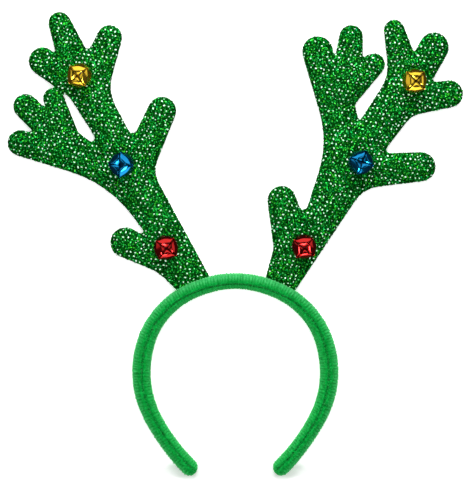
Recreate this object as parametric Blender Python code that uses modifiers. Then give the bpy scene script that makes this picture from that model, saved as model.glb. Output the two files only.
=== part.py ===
"""Reindeer antler headband: a plush-covered hair band, two padded antlers in a
sparkling knit, and six small jingle bells sewn on in pairs.

The headband lies on its back. X runs from the left tip to the right tip, Y
from the open ends of the band up to the antlers, and Z out of the front face
that carries the bells. Z = 0 is the surface it lies on, and X = Y = 0 is the
middle of its outline. Metres in the scene, millimetres in the tables.
"""
import math

import bmesh
import bpy
from mathutils import Matrix, Vector

MM = 0.001
GAP = 0.3                 # clearance between pieces that touch

# ---- hair band -------------------------------------------------------------
BAND_HALF_DEPTH = 6.2     # half of the tube's front-to-back size
BAND_POWER = 2.3          # 2 is an oval, higher is squarer
SEAM_DEPTH = 0.5          # the closing seam's groove
CAP_LENGTH = 5.4          # rounding at each open end
# the tube from the crown (0 degrees) round to its open end, about the middle
# of the head; seam is how far across the front face the seam lies, from the
# outer edge (0) to the inner edge (1)
BAND = (
    # angle, radius, width, seam
    (0.0,   60.8,   10.2,  0.69),
    (20.0,  61.0,   10.5,  0.67),
    (40.0,  62.2,   10.8,  0.62),
    (60.0,  62.8,   11.3,  0.56),
    (80.0,  62.4,   12.1,  0.54),
    (100.0, 62.3,   11.9,  0.54),
    (120.0, 62.5,   11.1,  0.56),
    (130.0, 63.3,   10.8,  0.57),
    (140.0, 65.2,   10.8,  0.58),
    (150.0, 68.3,   11.0,  0.60),
    (158.3, 71.6,   11.0,  0.62),
)

# ---- antlers ---------------------------------------------------------------
ANTLER_THICK = 8.0        # padded thickness
ANTLER_EDGE = 3.2         # how far the rounded edge reaches in
TIP, NOTCH = 1, -1
# Each outline is a belt pulled round a row of pegs, clockwise from the foot
# at the hair band: it passes outside a TIP (a rounded finger) and inside a
# NOTCH (the hollow between two fingers).
ANTLER_LEFT = (
    # peg,            x,      y,    radius, turn
    ("foot_outer",   -31.5,   48.7,   0.8, TIP),
    ("under_spur",   -68.0,   41.7,  29.7, NOTCH),
    ("spur",         -73.3,   86.7,   9.9, TIP),
    ("over_spur",    -62.6,   94.0,   1.5, NOTCH),
    ("outer_flank", -134.4,   55.6,  82.0, NOTCH),
    ("hand_low",    -143.4,  153.0,   8.4, TIP),
    ("hand_gap_1",  -136.6,  161.2,   1.0, NOTCH),
    ("hand_mid",    -139.9,  177.5,   8.1, TIP),
    ("hand_gap_2",  -127.6,  178.0,   0.8, NOTCH),
    ("hand_high",   -121.4,  182.9,   6.7, TIP),
    ("slit_outer",  -104.2,  160.4,   0.8, NOTCH),
    ("slit_inner",   -96.0,  156.4,   2.5, NOTCH),
    ("slit_top",    -111.8,  182.2,   1.9, NOTCH),
    ("crown_side",  -128.6,  207.6,   9.1, TIP),
    ("crown_gap_1", -120.9,  214.4,   1.0, NOTCH),
    ("crown_top",   -117.2,  233.0,   7.3, TIP),
    ("crown_gap_2",  -98.4,  218.0,   2.3, NOTCH),
    ("crown_inner",  -84.0,  223.2,   8.3, TIP),
    ("waist",        -57.0,  190.7,  26.4, NOTCH),
    ("over_tine",    -68.5,  162.4,   3.0, NOTCH),
    ("tine",         -48.9,  174.4,   9.3, TIP),
    ("under_tine",   -35.1,  134.9,  18.3, NOTCH),
    ("foot_inner",   -18.4,   58.0,   3.7, TIP),
)
ANTLER_RIGHT = (
    # peg,            x,      y,    radius, turn
    ("foot_inner",    22.2,   57.5,   3.2, TIP),
    ("under_spur",    16.8,   83.5,   8.8, NOTCH),
    ("spur",          31.0,  114.8,   9.4, TIP),
    ("over_spur",     45.5,  111.4,   2.9, NOTCH),
    ("inner_flank",   -9.2,  154.6,  68.3, NOTCH),
    ("hand_inner",    54.9,  214.0,  10.1, TIP),
    ("hand_gap_1",    66.3,  213.2,   1.0, NOTCH),
    ("hand_mid",      77.3,  223.7,   7.8, TIP),
    ("hand_gap_2",    85.9,  211.3,   1.1, NOTCH),
    ("hand_outer",    92.4,  205.4,   7.3, TIP),
    ("slit_inner",    81.3,  178.5,   1.5, NOTCH),
    ("slit_outer",    83.0,  169.5,   1.2, NOTCH),
    ("slit_top",      73.8,  204.5,  28.0, NOTCH),
    ("crown_inner",  106.0,  228.4,   6.7, TIP),
    ("crown_gap_1",  119.4,  214.6,   0.8, NOTCH),
    ("crown_top",    132.6,  216.9,   9.7, TIP),
    ("crown_gap_2",  133.4,  195.3,   1.6, NOTCH),
    ("crown_side",   142.9,  185.7,   8.8, TIP),
    ("under_crown",  125.7,  158.6,  14.2, NOTCH),
    ("over_tine",    102.9,  148.5,   2.4, NOTCH),
    ("tine",         123.9,  137.2,   9.6, TIP),
    ("under_tine",    97.6,  103.0,  21.1, NOTCH),
    ("foot_outer",    35.9,   50.2,   0.8, TIP),
)

# ---- bells -----------------------------------------------------------------
BELL_WALL = 0.6
BELL_SLOT = 0.9           # width of the crossed slots
BELL_SLOT_LOW = 3.4       # height at which the slots end, on the corners
BELL_HUB = 1.2            # round hole where the slots cross
BELL_HEIGHT = 15.55       # height of a bell's middle over the surface
# one bell from its back to its front: the shell is round at the back and the
# middle, and turns into a square with four corners at the front
BELL = (
    # height, to a side, to a corner
    (-7.0,  0.0,  0.0),
    (-6.7,  2.4,  2.4),
    (-5.6,  4.9,  4.9),
    (-3.8,  6.9,  6.9),
    (-1.4,  8.0,  8.0),
    (1.0,   8.2,  8.2),
    (3.2,   7.7,  8.2),
    (4.9,   6.7,  7.9),
    (5.9,   5.6,  6.9),
    (6.7,   3.6,  4.5),
    (7.2,   1.6,  1.9),
    (7.3,   0.0,  0.0),
)
PELLET_RADIUS = 2.2
# roll turns the slots about the bell's own axis (0 is an X), and lean is how
# far the front tips sideways and upwards for each unit of height
BELLS = (
    # name,            x,      y,    roll, lean_x, lean_y
    ("gold_left",   -102.4,  197.1,  -7.5, -0.17, -0.24),
    ("gold_right",   118.7,  193.4,   3.1,  0.00, -0.11),
    ("blue_left",    -74.6,  138.4,  42.0, -0.14, -0.09),
    ("blue_right",    82.9,  139.5,  26.4,  0.09, -0.04),
    ("red_left",     -45.3,   83.4,   9.0,  0.05, -0.09),
    ("red_right",     45.9,   84.3,   7.3, -0.07, -0.17),
)

# ---- finishes: colour, roughness, metallic ---------------------------------
FINISH = {
    "plush":    ((0.010, 0.290, 0.055), 0.90, 0.0),
    "glitter":  ((0.006, 0.150, 0.020), 0.45, 0.3),
    "gold":     ((0.830, 0.520, 0.030), 0.22, 1.0),
    "blue":     ((0.005, 0.190, 0.560), 0.22, 1.0),
    "red":      ((0.520, 0.010, 0.012), 0.22, 1.0),
    "steel":    ((0.550, 0.550, 0.560), 0.35, 1.0),
}


def clear_scene():
    for obj in list(bpy.data.objects):
        bpy.data.objects.remove(obj, do_unlink=True)


def new_collection(name):
    coll = bpy.data.collections.new(name)
    bpy.context.scene.collection.children.link(coll)
    return coll


def finish(name):
    colour, rough, metal = FINISH[name]
    mat = bpy.data.materials.get(name) or bpy.data.materials.new(name)
    mat.use_nodes = True
    bsdf = mat.node_tree.nodes["Principled BSDF"]
    bsdf.inputs["Base Color"].default_value = (*colour, 1.0)
    bsdf.inputs["Roughness"].default_value = rough
    bsdf.inputs["Metallic"].default_value = metal
    mat.diffuse_color = (*colour, 1.0)
    return mat


def add_mesh(name, mesh, coll, mat=None):
    obj = bpy.data.objects.new(name, mesh)
    coll.objects.link(obj)
    if mat is not None:
        mesh.materials.clear()
        mesh.materials.append(finish(mat))
    return obj


def as_cutter(obj):
    obj.hide_render = True
    obj.display_type = 'WIRE'
    return obj


def boolean(obj, cutter, operation='DIFFERENCE'):
    mod = obj.modifiers.new(operation.lower(), 'BOOLEAN')
    mod.operation = operation
    mod.solver = 'EXACT'
    mod.object = cutter


def evaluated_mesh(obj):
    """A plain mesh of the object as its modifiers leave it."""
    bpy.context.view_layer.update()
    deps = bpy.context.evaluated_depsgraph_get()
    return bpy.data.meshes.new_from_object(obj.evaluated_get(deps))


def drop(*objs):
    for obj in objs:
        bpy.data.objects.remove(obj, do_unlink=True)


def weld(mesh, dist=1e-6):
    bm = bmesh.new()
    bm.from_mesh(mesh)
    bmesh.ops.remove_doubles(bm, verts=bm.verts, dist=dist)
    bmesh.ops.recalc_face_normals(bm, faces=bm.faces)
    bm.to_mesh(mesh)
    bm.free()


# ---- the outline of an antler ----------------------------------------------
def belt_lines(pegs):
    """The straight run between each peg and the next: its two ends and its
    direction. The outline has its outside on the left of its travel."""
    lines = []
    for (_, x1, y1, r1, t1), (_, x2, y2, r2, t2) in zip(pegs, pegs[1:]):
        dist = math.hypot(x2 - x1, y2 - y1)
        head = math.atan2(y2 - y1, x2 - x1) + math.asin((t2 * r2 - t1 * r1) / dist)
        nx, ny = -math.sin(head), math.cos(head)
        lines.append(((x1 + t1 * r1 * nx, y1 + t1 * r1 * ny),
                      (x2 + t2 * r2 * nx, y2 + t2 * r2 * ny), head))
    return lines


def belt_outline(pegs, tip_step=24.0, notch_step=40.0):
    lines = belt_lines(pegs)
    pts = [lines[0][0]]
    for i, (_, end, head) in enumerate(lines):
        pts.append(end)
        if i + 1 == len(lines):
            break
        _, x, y, r, turn = pegs[i + 1]
        sweep = (lines[i + 1][2] - head + math.pi) % (2 * math.pi) - math.pi
        if turn == TIP and sweep > 0.6:
            sweep -= 2 * math.pi
        if turn == NOTCH and sweep < -0.6:
            sweep += 2 * math.pi
        # short of the true arc by no more than 0.12 mm
        step = min(2.0 * math.acos(max(0.0, 1.0 - 0.12 / r)),
                   math.radians(tip_step if turn == TIP else notch_step))
        n = max(1, math.ceil(abs(sweep) / step))
        for k in range(1, n + 1):
            a = head + sweep * k / n
            pts.append((x - turn * r * math.sin(a), y + turn * r * math.cos(a)))
    return pts


def outline_box():
    """The middle of the whole outline: the outermost tips and the lowest
    point of the hair band's ends."""
    tips = [p for p in ANTLER_LEFT + ANTLER_RIGHT if p[4] == TIP]
    x0 = min(x - r for _, x, _, r, _ in tips)
    x1 = max(x + r for _, x, _, r, _ in tips)
    y1 = max(y + r for _, _, y, r, _ in tips)
    y0 = min(p[1] - 0.43 * w for p, w in
             ((band_point(a), band_value(a, 2)) for a in (152, 153, 154, 155)))
    return 0.5 * (x0 + x1), 0.5 * (y0 + y1)


def antler(name, pegs, coll):
    curve = bpy.data.curves.new(name + "_outline", 'CURVE')
    curve.dimensions = '2D'
    curve.fill_mode = 'BOTH'
    curve.bevel_depth = ANTLER_EDGE * MM
    curve.offset = -ANTLER_EDGE * MM
    curve.extrude = (0.5 * ANTLER_THICK - ANTLER_EDGE) * MM
    curve.bevel_resolution = 1
    pts = belt_outline(pegs)
    spline = curve.splines.new('POLY')
    spline.points.add(len(pts) - 1)
    for p, (x, y) in zip(spline.points, pts):
        p.co = (x * MM, y * MM, 0.0, 1.0)
    spline.use_cyclic_u = True
    outline = bpy.data.objects.new(name + "_outline", curve)
    coll.objects.link(outline)
    outline.location.z = 0.5 * ANTLER_THICK * MM
    mesh = evaluated_mesh(outline)
    mesh.transform(outline.matrix_world)
    drop(outline)
    weld(mesh, 2e-5)
    return add_mesh(name, mesh, coll, "glitter")


# ---- the hair band ----------------------------------------------------------
def band_value(angle, column):
    """A smooth curve through one column of the BAND table."""
    a = abs(angle)
    rows = BAND
    i = max(k for k in range(len(rows) - 1) if rows[k][0] <= a or k == 0)
    x0, x1 = rows[i][0], rows[i + 1][0]
    y0, y1 = rows[i][column], rows[i + 1][column]

    def slope(k):
        if k == 0:
            return 0.0            # level across the crown
        if k == len(rows) - 1:
            return (rows[k][column] - rows[k - 1][column]) / (rows[k][0] - rows[k - 1][0])
        return (rows[k + 1][column] - rows[k - 1][column]) / (rows[k + 1][0] - rows[k - 1][0])
    t = (a - x0) / (x1 - x0)
    h = x1 - x0
    return ((1 + 2 * t) * (1 - t) ** 2 * y0 + t * (1 - t) ** 2 * h * slope(i)
            + t * t * (3 - 2 * t) * y1 + t * t * (t - 1) * h * slope(i + 1))


def band_point(angle):
    r = band_value(angle, 1)
    a = math.radians(angle)
    return (r * math.sin(a), r * math.cos(a))


def band_frame(angle):
    """Middle of the tube at an angle, and the direction away from the head."""
    x0, y0 = band_point(angle - 0.5)
    x1, y1 = band_point(angle + 0.5)
    d = math.hypot(x1 - x0, y1 - y0)
    return band_point(angle), (-(y1 - y0) / d, (x1 - x0) / d)


def power(v):
    return math.copysign(abs(v) ** (2.0 / BAND_POWER), v)


FLAT_IN = power(math.cos(math.radians(26.0)))      # flattened against the head
FLAT_BACK = power(math.sin(math.radians(68.0)))    # flattened where it lies
BAND_MIDDLE = FLAT_BACK * BAND_HALF_DEPTH


def band_section(seam_at):
    """The tube's section as (outward, forward) pairs in units of the half
    sizes, starting at the outer edge and passing over the front."""
    share = 1.0 - 2.0 * seam_at
    seam = math.degrees(math.acos(math.copysign(abs(share) ** (BAND_POWER / 2), share)))
    ring = [0, 20, 40, 60, 77, seam - 11, seam - 4.5, seam, seam + 4.5, seam + 11,
            136, 154, 180, 206, 228, 248, 270, 292, 316, 338]
    out = []
    for deg in ring:
        c, s = power(math.cos(math.radians(deg))), power(math.sin(math.radians(deg)))
        if deg == seam:
            s -= SEAM_DEPTH / BAND_HALF_DEPTH
        out.append((max(c, -FLAT_IN), max(s, -FLAT_BACK)))
    return out


def socket_section():
    """The room the band takes in an antler's foot: straight down from its
    widest line, and its own shape above it."""
    ring = [0, 30, 60, 90, 120, 150, 180]
    top = [(power(math.cos(math.radians(d))), power(math.sin(math.radians(d))))
           for d in ring]
    return top + [(-1.0, -1.4), (1.0, -1.4)]


def band_stations():
    """Angles along the tube with the size of its section there: full size,
    then a rounded end."""
    end = BAND[-1][0]
    cap = math.degrees(CAP_LENGTH / BAND[-1][1])
    half = [3.0 + 7.0 * k for k in range(22)]
    half = [a for a in half if a < end - cap - 2.0] + [end - cap]
    sized = [(a, 1.0) for a in half]
    for turn in (22.0, 42.0, 60.0, 76.0, 88.0):
        t = math.radians(turn)
        sized.append((end - cap + cap * math.sin(t), math.cos(t)))
    return [(-a, s) for a, s in reversed(sized)] + sized


def loft(name, stations, section, grow, coll, mat=None):
    bm = bmesh.new()
    rings = []
    for angle, size in stations:
        (x, y), (nx, ny) = band_frame(angle)
        half = 0.5 * band_value(angle, 2) * size + grow
        deep = BAND_HALF_DEPTH * size + grow
        ring = []
        for c, s in section(angle):
            ring.append(bm.verts.new(((x + nx * half * c) * MM,
                                      (y + ny * half * c) * MM,
                                      (BAND_MIDDLE + deep * s) * MM)))
        rings.append(ring)
    for a, b in zip(rings, rings[1:]):
        n = len(a)
        for k in range(n):
            bm.faces.new((a[k], a[(k + 1) % n], b[(k + 1) % n], b[k]))
    bm.faces.new(rings[0])
    bm.faces.new(list(reversed(rings[-1])))
    bmesh.ops.recalc_face_normals(bm, faces=bm.faces)
    mesh = bpy.data.meshes.new(name)
    bm.to_mesh(mesh)
    bm.free()
    return add_mesh(name, mesh, coll, mat)


# ---- a bell -----------------------------------------------------------------
def cross_tool(coll):
    """What the crossed slots take away: four arms on the diagonals and a
    round hub, standing from the slots' low ends up past the front."""
    half, reach = 0.5 * BELL_SLOT, 10.0
    out = math.sqrt(BELL_HUB ** 2 - half ** 2)
    bm = bmesh.new()
    ring = []
    for k in range(4):
        turn = Matrix.Rotation(math.radians(45.0 + 90.0 * k), 2)
        for x, y in ((out, -half), (reach, -half), (reach, half), (out, half)):
            ring.append(turn @ Vector((x, y)))
        ring.append(Matrix.Rotation(math.radians(90.0 + 90.0 * k), 2)
                    @ Vector((BELL_HUB, 0.0)))
    verts = [bm.verts.new((x * MM, y * MM, BELL_SLOT_LOW * MM)) for x, y in ring]
    face = bm.faces.new(verts)
    top = bmesh.ops.extrude_face_region(bm, geom=[face])
    for v in (g for g in top["geom"] if isinstance(g, bmesh.types.BMVert)):
        v.co.z = 9.0 * MM
    bmesh.ops.recalc_face_normals(bm, faces=bm.faces)
    mesh = bpy.data.meshes.new("slots")
    bm.to_mesh(mesh)
    bm.free()
    return as_cutter(add_mesh("slots", mesh, coll))


def rod(name, radius, length, place, sides, coll):
    bm = bmesh.new()
    bmesh.ops.create_cone(bm, cap_ends=True, segments=sides, radius1=radius * MM,
                          radius2=radius * MM, depth=length * MM)
    mesh = bpy.data.meshes.new(name)
    bm.to_mesh(mesh)
    bm.free()
    mesh.transform(place)
    return as_cutter(add_mesh(name, mesh, coll))


def bell_radius(row, around):
    """Distance from the axis at one height: from a circle to a square with
    rounded corners, whose corners lie on the diagonals."""
    _, side, corner = BELL[row]
    off = abs((around + math.pi / 4) % (math.pi / 2) - math.pi / 4)
    square = (1.0 / math.cos(off) - 1.0) / (math.sqrt(2.0) - 1.0)
    return side + (corner - side) * square


def bell_shell(coll):
    rows = len(BELL) - 1
    bm = bmesh.new()
    bmesh.ops.create_uvsphere(bm, u_segments=16, v_segments=rows, radius=1.0)
    for v in bm.verts:
        polar = math.acos(max(-1.0, min(1.0, -v.co.z)))
        row = round(polar / (math.pi / rows))
        around = math.atan2(v.co.y, v.co.x)
        r = bell_radius(row, around)
        v.co = Vector((r * math.cos(around), r * math.sin(around), BELL[row][0])) * MM
    bmesh.ops.recalc_face_normals(bm, faces=bm.faces)
    mesh = bpy.data.meshes.new("bell_shell")
    bm.to_mesh(mesh)
    bm.free()
    shell = add_mesh("bell_shell", mesh, coll)
    wall = shell.modifiers.new("wall", 'SOLIDIFY')
    wall.thickness = BELL_WALL * MM
    wall.offset = -1.0
    return shell


def bell_shank(coll):
    """The wire eye at the back that the thread goes through."""
    curve = bpy.data.curves.new("shank", 'CURVE')
    curve.dimensions = '3D'
    curve.bevel_depth = 0.6 * MM
    curve.bevel_resolution = 1
    curve.use_fill_caps = True
    spline = curve.splines.new('POLY')
    n = 7
    spline.points.add(n - 1)
    for k, p in enumerate(spline.points):
        a = math.pi * k / (n - 1)
        p.co = (2.0 * math.cos(a) * MM, 0.0, (-6.42 - 2.0 * math.sin(a)) * MM, 1.0)
    wire = bpy.data.objects.new("shank", curve)
    coll.objects.link(wire)
    mesh = evaluated_mesh(wire)
    drop(wire)
    weld(mesh, 1e-6)
    return as_cutter(add_mesh("bell_shank", mesh, coll))


def bell_mesh(coll):
    shell = bell_shell(coll)
    slots = cross_tool(coll)
    boolean(shell, slots)
    shank = bell_shank(coll)
    boolean(shell, shank, 'UNION')
    mesh = evaluated_mesh(shell)
    weld(mesh, 5e-7)
    drop(shell, shank, slots)
    return mesh


def bell_place(row, shift):
    """Position and attitude of a bell from its row."""
    _, x, y, roll, lean_x, lean_y = row
    axis = Vector((lean_x, lean_y, 1.0)).normalized()
    tilt = Vector((0, 0, 1)).rotation_difference(axis).to_matrix().to_4x4()
    return (Matrix.Translation(Vector((x - shift[0], y - shift[1], BELL_HEIGHT)) * MM)
            @ tilt @ Matrix.Rotation(math.radians(roll), 4, 'Z'))


def main():
    clear_scene()
    parts = new_collection("antler_headband")
    tools = new_collection("cutters")

    shift = outline_box()
    move = Matrix.Translation((-shift[0] * MM, -shift[1] * MM, 0.0))

    band = loft("headband", band_stations(),
                lambda a: band_section(band_value(a, 3)), 0.0, parts, "plush")
    socket = as_cutter(loft("band_room", [(a, 1.0) for a in range(-60, 61, 5)],
                            lambda a: socket_section(), GAP, tools))
    pieces = [band, socket]
    for name, pegs in (("antler_left", ANTLER_LEFT), ("antler_right", ANTLER_RIGHT)):
        obj = antler(name, pegs, parts)
        boolean(obj, socket)
        pieces.append(obj)
    for obj in pieces:
        obj.data.transform(move)

    bell = bell_mesh(tools)
    for row in BELLS:
        colour, side = row[0].split("_")
        place = bell_place(row, shift)
        # the bell, with its eye in a small pocket of the antler
        obj = add_mesh("bell_" + row[0], bell.copy(), parts, colour)
        obj.matrix_world = place
        pocket = rod("eye_pocket_" + row[0], 3.2, 4.0,
                     place @ Matrix.Translation((0, 0, -7.9 * MM)), 8, tools)
        boolean(bpy.data.objects["antler_" + side], pocket)
        # the loose pellet, lying on the shell's back
        bm = bmesh.new()
        bmesh.ops.create_icosphere(bm, subdivisions=1, radius=PELLET_RADIUS * MM)
        ball = bpy.data.meshes.new("pellet_" + row[0])
        bm.to_mesh(ball)
        bm.free()
        seat = -7.0 + BELL_WALL + PELLET_RADIUS + GAP + 0.1
        pellet = add_mesh("pellet_" + row[0], ball, parts, "steel")
        pellet.matrix_world = place @ Matrix.Translation((0, 0, seat * MM))

    for obj in parts.objects:
        obj.data.shade_smooth()
        obj.data.set_sharp_from_angle(angle=math.radians(38.0))
    bpy.context.view_layer.update()


main()
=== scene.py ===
"""Looks of the reindeer antler headband: plush band, antlers in a sparkling
metallic knit, and lacquered jingle bells, lying on a pale floor.

Metres, in the same frame as the model: the headband lies on its back, +Y runs
from the band's open ends to the antlers, +Z out of the front.
"""
import math

import bmesh
import bpy
import numpy as np
from mathutils import Matrix, Vector, kdtree, noise


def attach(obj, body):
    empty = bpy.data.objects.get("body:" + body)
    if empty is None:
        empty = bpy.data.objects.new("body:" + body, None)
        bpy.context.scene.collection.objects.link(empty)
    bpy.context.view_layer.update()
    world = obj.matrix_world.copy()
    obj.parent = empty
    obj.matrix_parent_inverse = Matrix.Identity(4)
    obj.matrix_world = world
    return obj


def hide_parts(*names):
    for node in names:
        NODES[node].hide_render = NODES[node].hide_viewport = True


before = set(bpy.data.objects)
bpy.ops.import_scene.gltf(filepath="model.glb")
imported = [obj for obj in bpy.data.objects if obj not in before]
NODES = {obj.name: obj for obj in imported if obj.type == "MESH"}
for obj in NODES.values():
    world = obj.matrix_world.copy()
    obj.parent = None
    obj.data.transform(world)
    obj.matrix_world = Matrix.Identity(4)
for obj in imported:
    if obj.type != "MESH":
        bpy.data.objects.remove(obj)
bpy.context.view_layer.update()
MM = 0.001
SHIFT = (-0.05, 85.95)        # the drawing's zero to the middle of the outline

# ---- the drawing's own numbers, in millimetres ------------------------------
BAND_HALF_DEPTH = 6.2
BAND_POWER = 2.3
CAP_LENGTH = 5.4
BAND = (
    # angle, radius, width, seam
    (0.0,   60.8,   10.2,  0.69),
    (20.0,  61.0,   10.5,  0.67),
    (40.0,  62.2,   10.8,  0.62),
    (60.0,  62.8,   11.3,  0.56),
    (80.0,  62.4,   12.1,  0.54),
    (100.0, 62.3,   11.9,  0.54),
    (120.0, 62.5,   11.1,  0.56),
    (130.0, 63.3,   10.8,  0.57),
    (140.0, 65.2,   10.8,  0.58),
    (150.0, 68.3,   11.0,  0.60),
    (158.3, 71.6,   11.0,  0.62),
)
BELL_HEIGHT = 15.55
BELLS = (
    # name,            x,      y,    roll, lean_x, lean_y
    ("gold_left",   -102.9,  197.1,  -7.5, -0.22, -0.22),
    ("gold_right",   118.3,  193.4,   3.1,  0.12, -0.11),
    ("blue_left",    -75.0,  138.1,  42.0, -0.22, -0.09),
    ("blue_right",    82.8,  139.5,  26.4,  0.16,  0.02),
    ("red_left",     -45.9,   83.2,   9.0,  0.12, -0.12),
    ("red_right",     45.4,   84.0,   7.3,  0.02, -0.27),
)

# ---- small helpers ----------------------------------------------------------


def link(obj):
    bpy.context.scene.collection.objects.link(obj)
    return obj


def new_mesh_object(name, verts, faces, mats, smooth=True, face_mats=None):
    """An object from arrays: verts n x 3, faces m x 3 or m x 4."""
    mesh = bpy.data.meshes.new(name)
    verts = np.asarray(verts, dtype=np.float32)
    faces = np.asarray(faces, dtype=np.int32)
    mesh.vertices.add(len(verts))
    mesh.vertices.foreach_set("co", verts.ravel())
    k = faces.shape[1]
    mesh.loops.add(faces.size)
    mesh.loops.foreach_set("vertex_index", faces.ravel())
    mesh.polygons.add(len(faces))
    mesh.polygons.foreach_set("loop_start", np.arange(0, faces.size, k, dtype=np.int32))
    mesh.update(calc_edges=True)
    mesh.validate()
    for m in mats:
        mesh.materials.append(m)
    if face_mats is not None:
        mesh.polygons.foreach_set("material_index", np.asarray(face_mats, dtype=np.int32))
    if smooth:
        mesh.shade_smooth()
    mesh.update()
    return link(bpy.data.objects.new(name, mesh))


def verts_of(mesh):
    co = np.empty(len(mesh.vertices) * 3, dtype=np.float32)
    mesh.vertices.foreach_get("co", co)
    return co.reshape(-1, 3)


def set_verts(mesh, co):
    mesh.vertices.foreach_set("co", np.asarray(co, dtype=np.float32).ravel())
    mesh.update()


def applied(obj):
    """Replaces the object's mesh by what its modifiers make of it."""
    bpy.context.view_layer.update()
    deps = bpy.context.evaluated_depsgraph_get()
    mesh = bpy.data.meshes.new_from_object(obj.evaluated_get(deps))
    old = obj.data
    obj.modifiers.clear()
    obj.data = mesh
    bpy.data.meshes.remove(old)


def unit(v):
    return v / np.maximum(np.linalg.norm(v, axis=-1, keepdims=True), 1e-12)


# ---- materials ---------------------------------------------------------------


class Nodes:
    """A material's node tree with a Principled BSDF, and short ways to add to it."""

    def __init__(self, name):
        self.mat = bpy.data.materials.new(name)
        self.mat.use_nodes = True
        self.tree = self.mat.node_tree
        self.bsdf = self.tree.nodes["Principled BSDF"]

    def set(self, **values):
        for key, value in values.items():
            self.bsdf.inputs[key.replace("_", " ")].default_value = value

    def add(self, kind, **values):
        node = self.tree.nodes.new(kind)
        for key, value in values.items():
            setattr(node, key, value)
        return node

    def join(self, a, b):
        self.tree.links.new(a, b)

    def coords(self):
        return self.add("ShaderNodeTexCoord").outputs["Object"]

    def noise(self, vector, scale, detail=2.0, rough=0.5):
        node = self.add("ShaderNodeTexNoise")
        node.inputs["Scale"].default_value = scale
        node.inputs["Detail"].default_value = detail
        node.inputs["Roughness"].default_value = rough
        self.join(vector, node.inputs["Vector"])
        return node.outputs["Fac"]

    def ramp(self, fac, stops):
        node = self.add("ShaderNodeValToRGB")
        els = node.color_ramp.elements
        while len(els) < len(stops):
            els.new(0.5)
        for el, (pos, col) in zip(els, stops):
            el.position = pos
            el.color = (*col, 1.0)
        self.join(fac, node.inputs["Fac"])
        return node.outputs["Color"]

    def mix(self, factor, a, b):
        """Two colours mixed; b may be a fixed colour."""
        node = self.add("ShaderNodeMix", data_type='RGBA')
        ins = {k.name: k for k in node.inputs if k.enabled}
        self.join(factor, ins["Factor"])
        self.join(a, ins["A"])
        if isinstance(b, tuple):
            ins["B"].default_value = (*b, 1.0)
        else:
            self.join(b, ins["B"])
        return next(k for k in node.outputs if k.enabled)

    def bump(self, height, distance, strength=1.0):
        node = self.add("ShaderNodeBump")
        node.inputs["Distance"].default_value = distance
        node.inputs["Strength"].default_value = strength
        self.join(height, node.inputs["Height"])
        self.join(node.outputs["Normal"], self.bsdf.inputs["Normal"])
        return node


def knit_material():
    """The dark ground of the knit, between the shining loops."""
    m = Nodes("glitter_knit_ground")
    co = m.coords()
    col = m.ramp(m.noise(co, 1100.0, 3.0, 0.6),
                 [(0.32, (0.0005, 0.014, 0.0010)), (0.52, (0.0012, 0.045, 0.0040)),
                  (0.72, (0.0040, 0.120, 0.0120))])
    m.join(col, m.bsdf.inputs["Base Color"])
    m.set(Roughness=0.7, Metallic=0.0)
    m.bsdf.inputs["Specular IOR Level"].default_value = 0.0
    vor = m.add("ShaderNodeTexVoronoi")
    vor.inputs["Scale"].default_value = 900.0
    m.join(co, vor.inputs["Vector"])
    m.bump(vor.outputs["Distance"], 0.0005, 0.9)
    return m.mat


def foil_material(name, colour, rough, metal, vary=0.25, edge=None, painted_glint=0.0):
    """Metallic yarn: the colour wanders a little from loop to loop. The last argument makes a flat
    glow a little: a painted glint, for the studio's lamps that it throws back."""
    m = Nodes(name)
    dark = tuple(c * (1.0 - vary) for c in colour)
    light = tuple(min(1.0, c * (1.0 + vary)) for c in colour)
    col = m.ramp(m.noise(m.coords(), 420.0, 1.0), [(0.35, dark), (0.65, light)])
    m.join(col, m.bsdf.inputs["Base Color"])
    m.set(Roughness=rough, Metallic=metal)
    m.bsdf.inputs["Specular IOR Level"].default_value = 0.0
    m.bsdf.inputs["Specular Tint"].default_value = (*(edge or colour), 1.0)
    # painted glint: the flat glows in its own colour
    if painted_glint:
        m.join(col, m.bsdf.inputs["Emission Color"])
        m.bsdf.inputs["Emission Strength"].default_value = painted_glint
    return m.mat


def plush_material():
    """Velour pile: deep green, paler at the sides and on the outer side towards the crown (painted
    sheen and painted light from above), and darker in and beside the seam (painted shade)."""
    m = Nodes("green_plush")
    co = m.coords()
    col = m.ramp(m.noise(co, 620.0, 4.0, 0.7),
                 [(0.32, (0.0010, 0.250, 0.028)), (0.50, (0.0024, 0.430, 0.054)),
                  (0.68, (0.010, 0.640, 0.100))])
    # painted sheen and painted light from above: where the pile is drawn paler
    painted_sheen_share = m.add("ShaderNodeAttribute", attribute_name="painted_sheen_share")
    pale = m.ramp(m.noise(co, 900.0, 2.0, 0.6),
                  [(0.35, (0.040, 0.540, 0.135)), (0.65, (0.100, 0.700, 0.220))])
    # painted sheen: the palest green along the tube's two edges
    rim = m.add("ShaderNodeAttribute", attribute_name="rim")
    edge = m.ramp(m.noise(co, 800.0, 2.0, 0.6),
                  [(0.35, (0.180, 0.740, 0.300)), (0.65, (0.360, 0.900, 0.460))])
    side = m.mix(rim.outputs["Fac"], m.mix(painted_sheen_share.outputs["Fac"], col, pale), edge)
    # painted shade in and beside the seam
    shade = m.add("ShaderNodeAttribute", attribute_name="shade")
    dark = m.mix(shade.outputs["Fac"], side, (0.0010, 0.130, 0.018))
    m.join(dark, m.bsdf.inputs["Base Color"])
    m.set(Roughness=0.9, Sheen_Weight=0.75, Sheen_Roughness=0.32,
          Sheen_Tint=(0.20, 1.0, 0.40, 1.0))
    m.bsdf.inputs["Specular IOR Level"].default_value = 0.0
    m.bump(m.noise(co, 1500.0, 2.0, 0.6), 0.0003, 0.7)
    return m.mat


def pile_material():
    m = Nodes("green_pile")
    col = m.ramp(m.noise(m.coords(), 700.0, 2.0, 0.6),
                 [(0.35, (0.010, 0.430, 0.085)), (0.65, (0.110, 0.800, 0.240))])
    m.join(col, m.bsdf.inputs["Base Color"])
    m.set(Roughness=0.9)
    m.bsdf.inputs["Specular IOR Level"].default_value = 0.0
    return m.mat


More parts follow.
